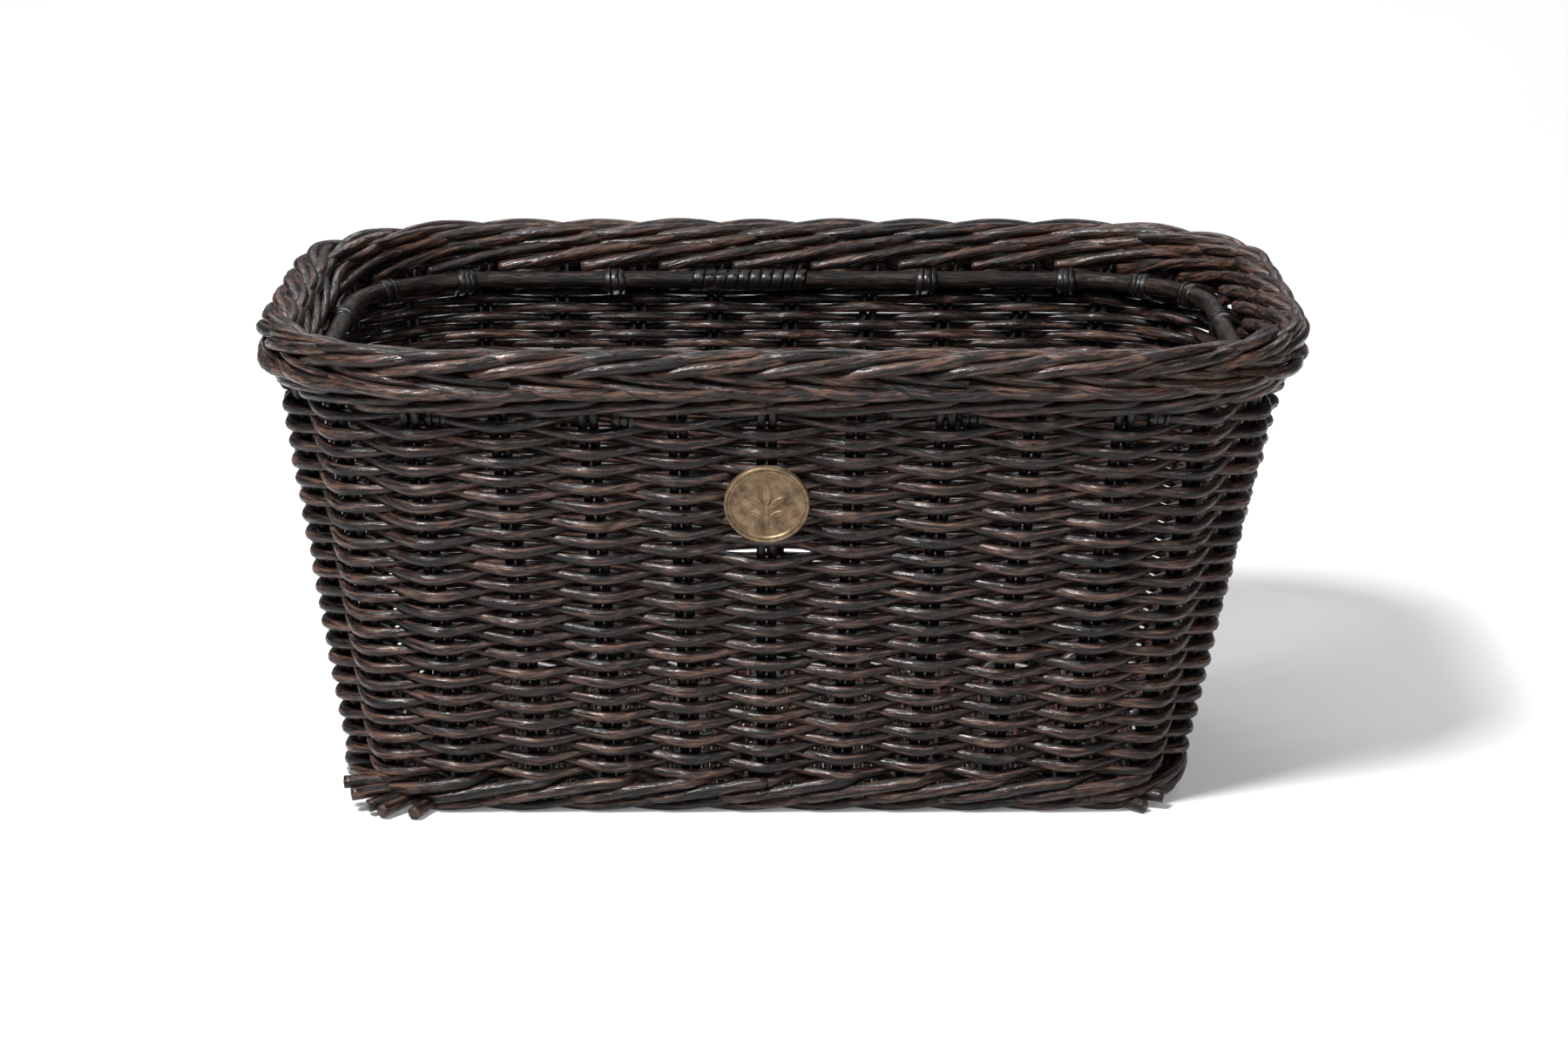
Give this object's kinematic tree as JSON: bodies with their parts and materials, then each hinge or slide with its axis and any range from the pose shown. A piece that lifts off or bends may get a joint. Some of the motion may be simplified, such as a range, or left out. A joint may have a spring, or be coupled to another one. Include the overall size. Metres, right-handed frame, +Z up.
{
  "type": "rattan basket",
  "caption": "Open rounded-rectangular rattan basket with tapered woven sides, a braided border, a lashed inner hoop and a round badge on the front.",
  "frame": {"origin": "on the floor, under the middle of the border's bounding box", "axes": "+Z up, +X along the length of the front towards its right-hand end, and the badge faces -Y"},
  "size_m": [0.406, 0.28, 0.191],
  "materials": {
    "cane": "dark brown stained rattan core with a satin sheen",
    "stake": "dark brown stained rattan core, in the shade of the weave",
    "split_cane": "dark brown stained flat rattan peel with a glossy skin",
    "brass": "antique brass, dark in its hollows",
    "steel": "zinc plated"
  },
  "bodies": {
    "root": {"base_weave": "cane", "base_stick_1": "stake", "base_stick_2": "stake", "base_stick_3": "stake", "base_stick_4": "stake", "base_stick_5": "stake", "base_stick_6": "stake", "foot_rod_ground": "cane", "foot_rod_outer": "cane", "foot_rod_inner": "cane", "stake_pair_01": "stake", "stake_pair_02": "stake", "stake_pair_03": "stake", "stake_pair_04": "stake", "stake_pair_05": "stake", "stake_pair_06": "stake", "stake_pair_07": "stake", "stake_pair_08": "stake", "stake_pair_09": "stake", "stake_pair_10": "stake", "stake_pair_11": "stake", "stake_pair_12": "stake", "stake_pair_13": "stake", "stake_pair_14": "stake", "stake_pair_15": "stake", "stake_pair_16": "stake", "stake_pair_17": "stake", "stake_pair_18": "stake", "stake_pair_19": "stake", "stake_pair_20": "stake", "stake_pair_21": "stake", "stake_pair_22": "stake", "stake_pair_23": "stake", "stake_pair_24": "stake", "stake_pair_25": "stake", "stake_pair_26": "stake", "stake_pair_27": "stake", "stake_pair_28": "stake", "stake_pair_29": "stake", "stake_pair_30": "stake", "stake_pair_31": "stake", "stake_pair_32": "stake", "stake_pair_33": "stake", "stake_pair_34": "stake", "siding_weave": "cane", "top_wale_outer": "cane", "top_wale_inner": "cane", "border_strand_outer": "cane", "border_strand_top": "cane", "border_strand_inner": "cane", "hoop": "cane", "hoop_joint_wrap": "split_cane", "hoop_lashings": "split_cane", "badge_disc": "brass", "badge_back_plate": "brass", "badge_screws": "steel"}
  },
  "joints": []
}
